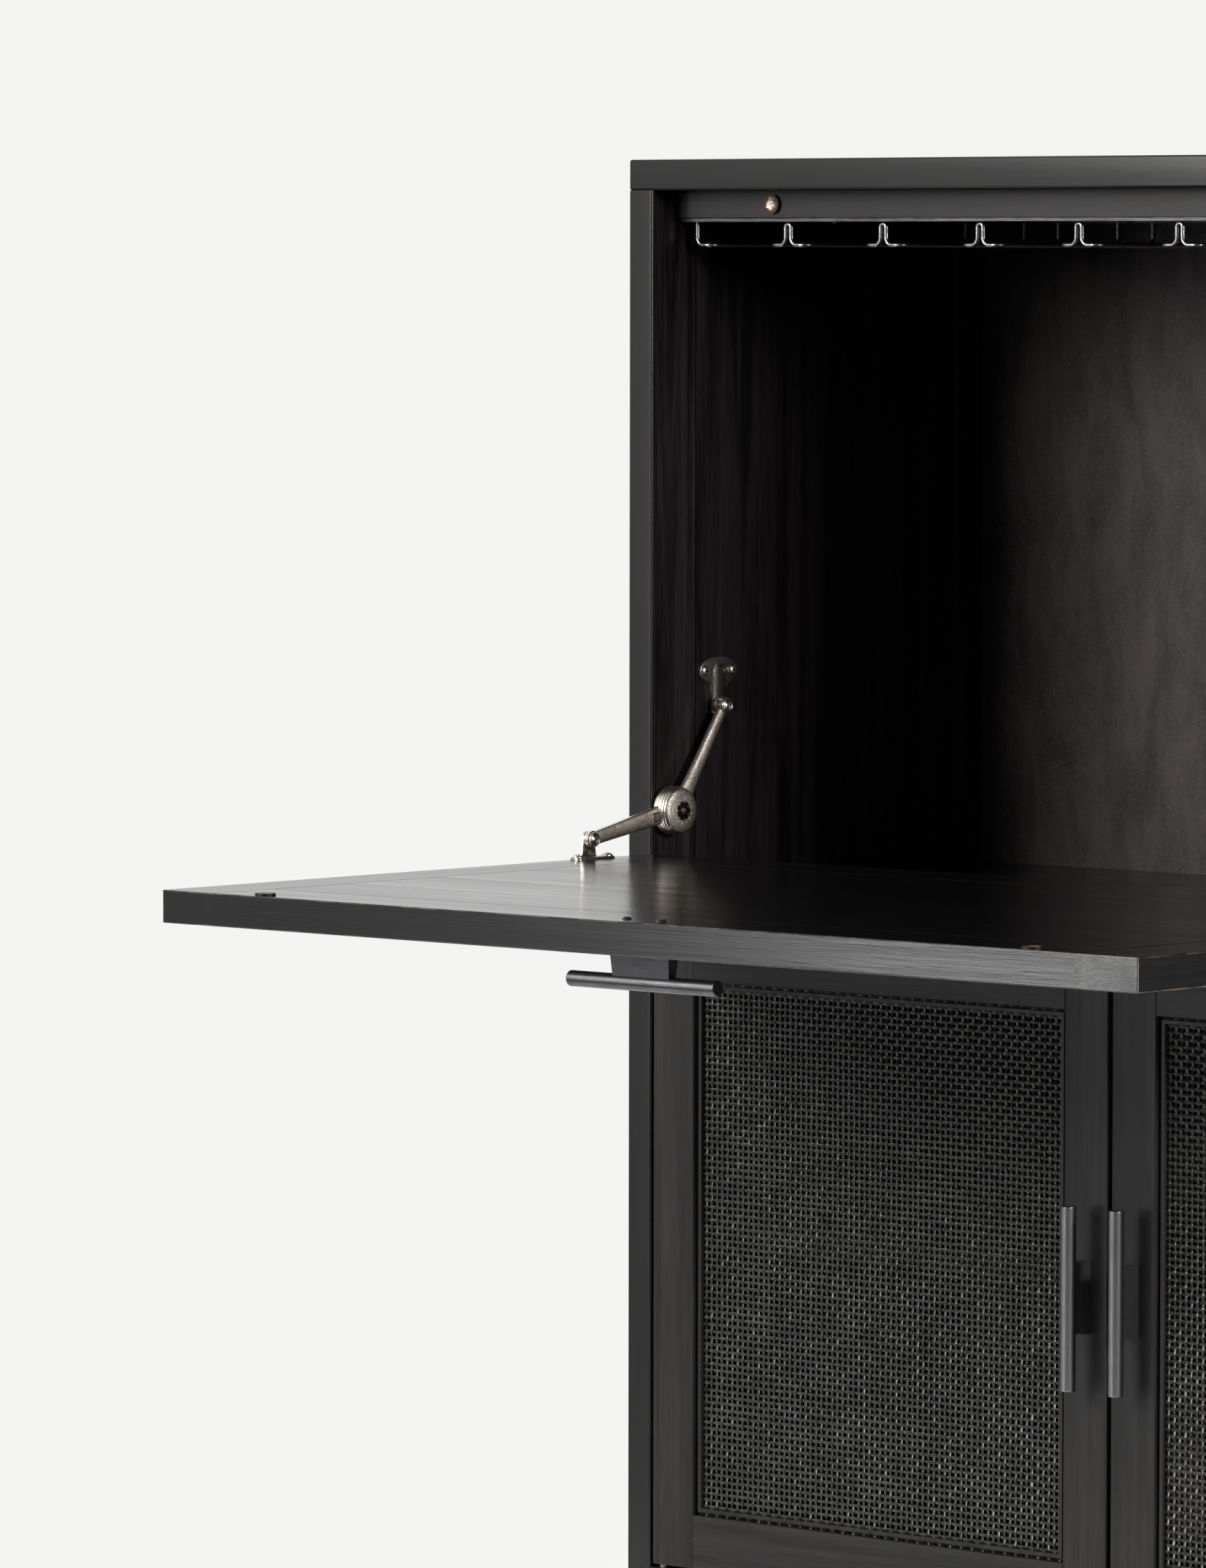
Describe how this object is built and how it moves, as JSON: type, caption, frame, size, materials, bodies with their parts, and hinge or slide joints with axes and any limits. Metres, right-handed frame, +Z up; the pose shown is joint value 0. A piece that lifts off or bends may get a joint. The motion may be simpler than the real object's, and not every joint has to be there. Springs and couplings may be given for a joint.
{
  "type": "bar armoire",
  "caption": "Black wood bar cabinet on legs: a drop leaf on friction stays opens a bar with a wire rack for stemmed glasses, above a pair of cane doors with bar handles.",
  "frame": {"origin": "on the floor, in the middle of the object's box with the leaf open", "axes": "+X to the right as seen from the front, +Y from the front to the back, +Z up"},
  "size_m": [1.016, 1.004, 1.4],
  "materials": {
    "black_wood": "black stain under a satin lacquer, with brown showing on worn arrises",
    "inside_wood": "brown-black stain, satin",
    "back_board": "dark grey-brown stain, matt",
    "black_cane": "black lacquered cane strands, glossy",
    "gunmetal": "brushed gunmetal",
    "rack_black": "gloss black enamel",
    "pewter": "antique nickel, hammered and rubbed bright",
    "catch_nickel": "warm nickel plate",
    "hinge_steel": "dark plated steel",
    "glide_plastic": "black plastic"
  },
  "bodies": {
    "carcass": {"back_panel": "back_board", "bottom_panel": "black_wood", "cupboard_shelf": "inside_wood", "deck": "black_wood", "deck_hinge_plates": "hinge_steel", "door_case_pivots": "hinge_steel", "door_catch": "hinge_steel", "foot_glides": "glide_plastic", "leaf_hinge_pins": "hinge_steel", "leaf_magnets": "catch_nickel", "left_front_post": "black_wood", "left_rear_post": "black_wood", "left_side_panel": "black_wood", "left_wall_bracket": "pewter", "rack_bars": "rack_black", "rack_cleat": "inside_wood", "rack_runners": "rack_black", "rack_screws": "rack_black", "right_front_post": "black_wood", "right_rear_post": "black_wood", "right_side_panel": "black_wood", "right_wall_bracket": "pewter", "shelf_pins": "hinge_steel", "top_panel": "black_wood", "upper_front_rail": "inside_wood", "wall_bracket_screws": "pewter"},
    "leaf": {"leaf_bracket_screws": "pewter", "leaf_front_rail": "black_wood", "leaf_handle": "gunmetal", "leaf_handle_screws": "gunmetal", "leaf_hinge_plates": "hinge_steel", "leaf_left_stile": "black_wood", "leaf_panel": "black_wood", "leaf_rear_rail": "black_wood", "leaf_right_stile": "black_wood", "leaf_strikes": "catch_nickel", "left_leaf_bracket": "pewter", "right_leaf_bracket": "pewter"},
    "left_door": {"left_door_beads": "black_wood", "left_door_bottom_rail": "black_wood", "left_door_cane": "black_cane", "left_door_handle": "gunmetal", "left_door_hinge_stile": "black_wood", "left_door_lock_stile": "black_wood", "left_door_pivots": "hinge_steel", "left_door_strike": "hinge_steel", "left_door_top_rail": "black_wood"},
    "right_door": {"right_door_beads": "black_wood", "right_door_bottom_rail": "black_wood", "right_door_cane": "black_cane", "right_door_handle": "gunmetal", "right_door_hinge_stile": "black_wood", "right_door_lock_stile": "black_wood", "right_door_pivots": "hinge_steel", "right_door_strike": "hinge_steel", "right_door_top_rail": "black_wood"},
    "left_upper_arm": {"left_stay_upper_arm": "pewter"},
    "left_lower_arm": {"left_stay_lower_arm": "pewter"},
    "right_upper_arm": {"right_stay_upper_arm": "pewter"},
    "right_lower_arm": {"right_stay_lower_arm": "pewter"}
  },
  "joints": [
    {"name": "leaf_fold", "type": "hinge", "parent": "carcass", "child": "leaf", "pos_m": [0, 0.062, 0.8085], "axis": [-1, 0, 0], "range_deg": [0, 90]},
    {"name": "left_upper_arm_turn", "type": "hinge", "parent": "carcass", "child": "left_upper_arm", "pos_m": [-0.4722, 0.137, 0.953], "axis": [1, 0, 0], "range_deg": [0, 75.39]},
    {"name": "left_lower_arm_turn", "type": "hinge", "parent": "leaf", "child": "left_lower_arm", "pos_m": [-0.4722, -0.0185, 0.85], "axis": [1, 0, 0], "range_deg": [0, 72.74]},
    {"name": "right_upper_arm_turn", "type": "hinge", "parent": "carcass", "child": "right_upper_arm", "pos_m": [0.4722, 0.137, 0.953], "axis": [1, 0, 0], "range_deg": [0, 75.39]},
    {"name": "right_lower_arm_turn", "type": "hinge", "parent": "leaf", "child": "right_lower_arm", "pos_m": [0.4722, -0.0185, 0.85], "axis": [1, 0, 0], "range_deg": [0, 72.74]},
    {"name": "left_door_swing", "type": "hinge", "parent": "carcass", "child": "left_door", "pos_m": [-0.472, 0.068, 0.25], "axis": [0, 0, -1], "range_deg": [0, 105]},
    {"name": "right_door_swing", "type": "hinge", "parent": "carcass", "child": "right_door", "pos_m": [0.472, 0.068, 0.25], "axis": [0, 0, 1], "range_deg": [0, 105]}
  ],
  "couplings": [
    {"joint": "left_upper_arm_turn", "follows": "leaf_fold", "ratio": 0.83765},
    {"joint": "left_lower_arm_turn", "follows": "leaf_fold", "ratio": 0.80822},
    {"joint": "right_upper_arm_turn", "follows": "leaf_fold", "ratio": 0.83765},
    {"joint": "right_lower_arm_turn", "follows": "leaf_fold", "ratio": 0.80822}
  ]
}
